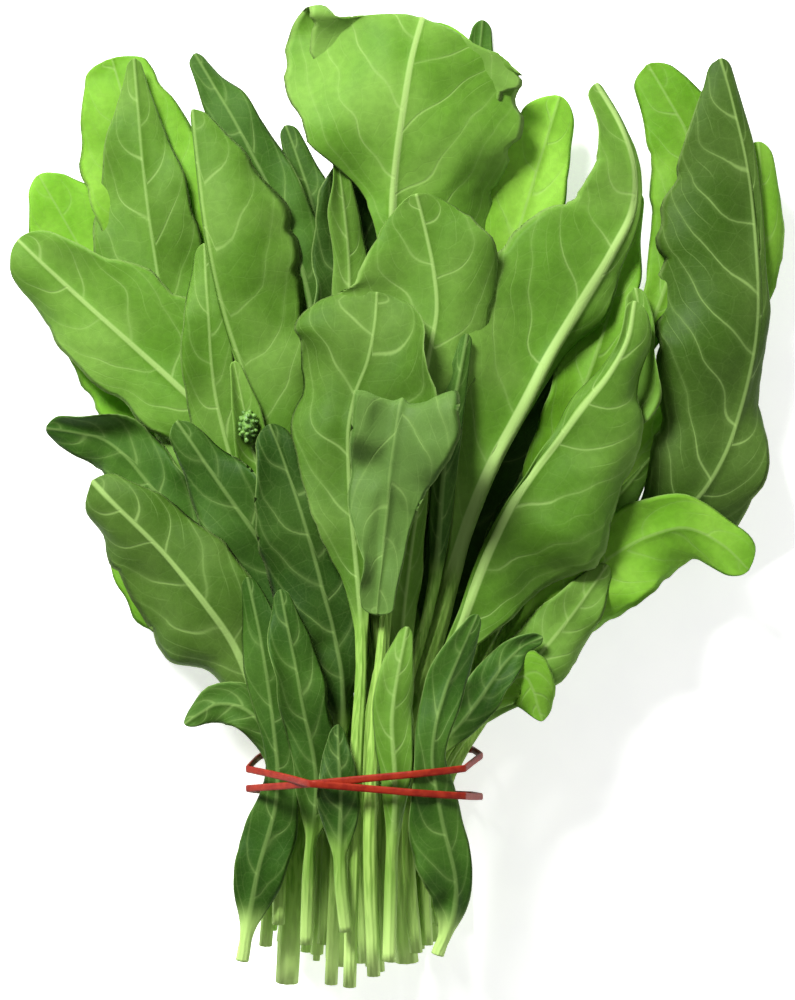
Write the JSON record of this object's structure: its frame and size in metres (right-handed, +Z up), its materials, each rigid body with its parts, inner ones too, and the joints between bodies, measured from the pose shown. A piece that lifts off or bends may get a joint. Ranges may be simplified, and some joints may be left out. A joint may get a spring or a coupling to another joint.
{
  "type": "spinach bunch",
  "caption": "Bunch of fresh spinach lying on its side, leaves fanned out from cut stalks held by a thin red rubber band",
  "frame": {"origin": "bottom centre of the bounding box, on the surface that the bunch lies on", "axes": "+Z up, +Y along the bunch from the cut stalk ends to the leaf tips, +X across the bunch"},
  "size_m": [0.2656, 0.3275, 0.0852],
  "materials": {
    "leaf_mid": "soft satin leaf, mid green",
    "leaf_dark": "soft satin leaf, dark green",
    "leaf_lime": "leaf with light coming through, lime green",
    "tie": "matt red rubber"
  },
  "bodies": {
    "root": {"leaf_under_1": "leaf_dark", "leaf_under_2": "leaf_mid", "leaf_under_3": "leaf_mid", "leaf_under_4": "leaf_dark", "leaf_under_5": "leaf_mid", "leaf_under_6": "leaf_mid", "leaf_under_7": "leaf_dark", "leaf_under_8": "leaf_mid", "leaf_under_9": "leaf_dark", "leaf_inner_1": "leaf_dark", "leaf_inner_2": "leaf_dark", "leaf_inner_3": "leaf_dark", "leaf_inner_4": "leaf_dark", "leaf_inner_5": "leaf_dark", "leaf_far_left_lime": "leaf_lime", "leaf_left_back_lime": "leaf_lime", "leaf_crown_tip": "leaf_dark", "leaf_crown_back_lime": "leaf_lime", "leaf_right_back_lime": "leaf_lime", "leaf_right_inner_lime": "leaf_lime", "leaf_far_right_top_lime": "leaf_lime", "leaf_far_right_side_lime": "leaf_lime", "leaf_far_right": "leaf_mid", "leaf_far_right_low_lime": "leaf_lime", "leaf_left_tall": "leaf_mid", "leaf_left_large": "leaf_mid", "leaf_small_dark": "leaf_dark", "leaf_narrow_dark": "leaf_dark", "leaf_hollow_dark": "leaf_dark", "leaf_small_pointed": "leaf_mid", "leaf_left_inner": "leaf_mid", "leaf_left_front_tall": "leaf_mid", "leaf_crown": "leaf_mid", "leaf_bud_shoot": "leaf_mid", "leaf_low_left_dark": "leaf_dark", "leaf_low_left_lime": "leaf_lime", "leaf_right_cup": "leaf_mid", "leaf_right_large": "leaf_mid", "leaf_lower_right_small": "leaf_mid", "leaf_lower_right_lime": "leaf_lime", "leaf_lower_right_sprig": "leaf_dark", "leaf_right_jagged": "leaf_mid", "leaf_front_centre": "leaf_mid", "leaf_front_left_waved": "leaf_dark", "leaf_front_waved": "leaf_dark", "leaf_curled_low_left": "leaf_mid", "leaf_narrow_right": "leaf_dark", "leaf_centre_strip": "leaf_mid", "leaf_front_lobe": "leaf_mid", "leaf_front_bent": "leaf_dark", "leaf_left_sprig": "leaf_dark", "leaf_stalk_left": "leaf_dark", "leaf_stalk_middle": "leaf_dark", "leaf_stalk_centre": "leaf_mid", "leaf_stalk_small": "leaf_dark", "leaf_tie_right": "leaf_dark", "tie": "tie"}
  },
  "joints": []
}
